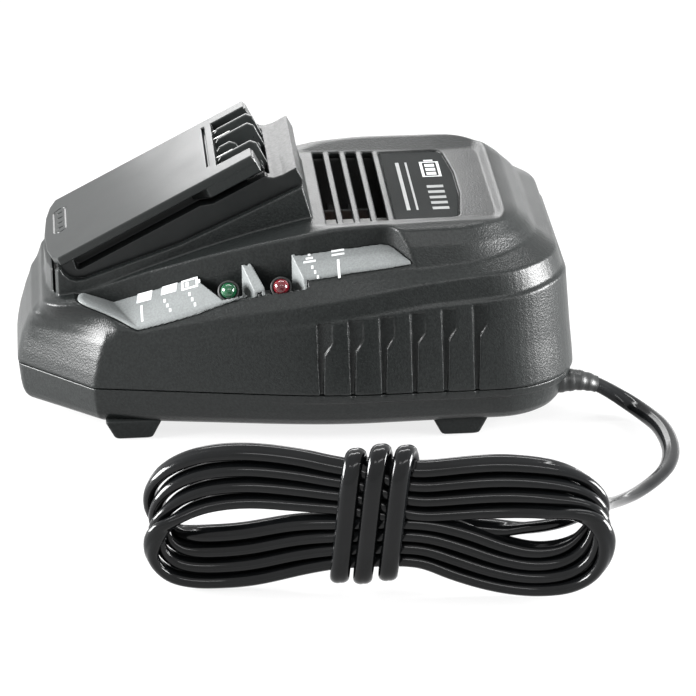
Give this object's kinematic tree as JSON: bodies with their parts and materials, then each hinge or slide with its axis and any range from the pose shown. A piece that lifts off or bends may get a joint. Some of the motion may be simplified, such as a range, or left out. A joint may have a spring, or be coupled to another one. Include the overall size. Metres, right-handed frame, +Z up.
{
  "type": "power tool battery charger",
  "caption": "Bench charger with an inclined battery slide, two signal lamps, a vented deck and a flat mains lead tied in a hank beside it.",
  "frame": {"origin": "on the floor under the middle of the housing, at the plane of symmetry of the two shells", "axes": "+X from the battery nose to the cord end, +Z up, and the signal lamps are on the -Y side"},
  "size_m": [0.214, 0.2613, 0.0914],
  "materials": {
    "housing_plastic": "fine spark-eroded grain, satin",
    "slide_plastic": "smooth satin",
    "dark_plastic": "smooth satin",
    "panel_plastic": "fine grain",
    "label_film": "stippled film",
    "green_lens": "clear tinted",
    "red_lens": "clear tinted",
    "contact_metal": "plated",
    "screw_steel": "zinc plated",
    "board_laminate": "solder mask",
    "ferrite": "matt",
    "winding_tape": "tape over wire",
    "capacitor_sleeve": "shrink sleeve",
    "copper_wire": "enamelled",
    "yellow_case": "moulded case",
    "chip_plastic": "moulded",
    "ceramic": "glazed",
    "heat_sink_metal": "extruded",
    "terminal_plastic": "moulded",
    "wire_jacket": "insulated wire",
    "lead_jacket": "glossy flexible jacket",
    "plug_plastic": "satin moulded",
    "pin_metal": "nickel plated"
  },
  "bodies": {
    "root": {"upper_housing": "housing_plastic", "lower_housing": "housing_plastic", "feet": "dark_plastic", "housing_screws": "screw_steel", "battery_shoe": "dark_plastic", "rail_plate": "slide_plastic", "contact_holder": "dark_plastic", "positive_contact": "contact_metal", "negative_contact": "contact_metal", "signal_contacts": "contact_metal", "led_panel": "panel_plastic", "green_lamp": "green_lens", "red_lamp": "red_lens", "lamp_boards": "board_laminate", "lamp_chips": "ceramic", "lamp_wires": "contact_metal", "label_plate": "label_film", "circuit_board": "board_laminate", "board_screws": "screw_steel", "transformer_core": "ferrite", "transformer_winding": "winding_tape", "mains_capacitor": "capacitor_sleeve", "output_capacitors": "capacitor_sleeve", "line_choke": "copper_wire", "suppression_capacitor": "yellow_case", "rectifier": "chip_plastic", "fuse": "ceramic", "heat_sink": "heat_sink_metal", "power_transistor": "chip_plastic", "control_chip": "chip_plastic", "mains_terminal": "terminal_plastic", "contact_wires": "wire_jacket", "inner_lead": "wire_jacket", "cord_clamp": "dark_plastic", "clamp_screws": "screw_steel", "strain_relief": "plug_plastic", "cord_lead": "lead_jacket", "cord_hank": "lead_jacket", "cord_tail": "lead_jacket", "plug_body": "plug_plastic", "plug_pins": "pin_metal"}
  },
  "joints": []
}
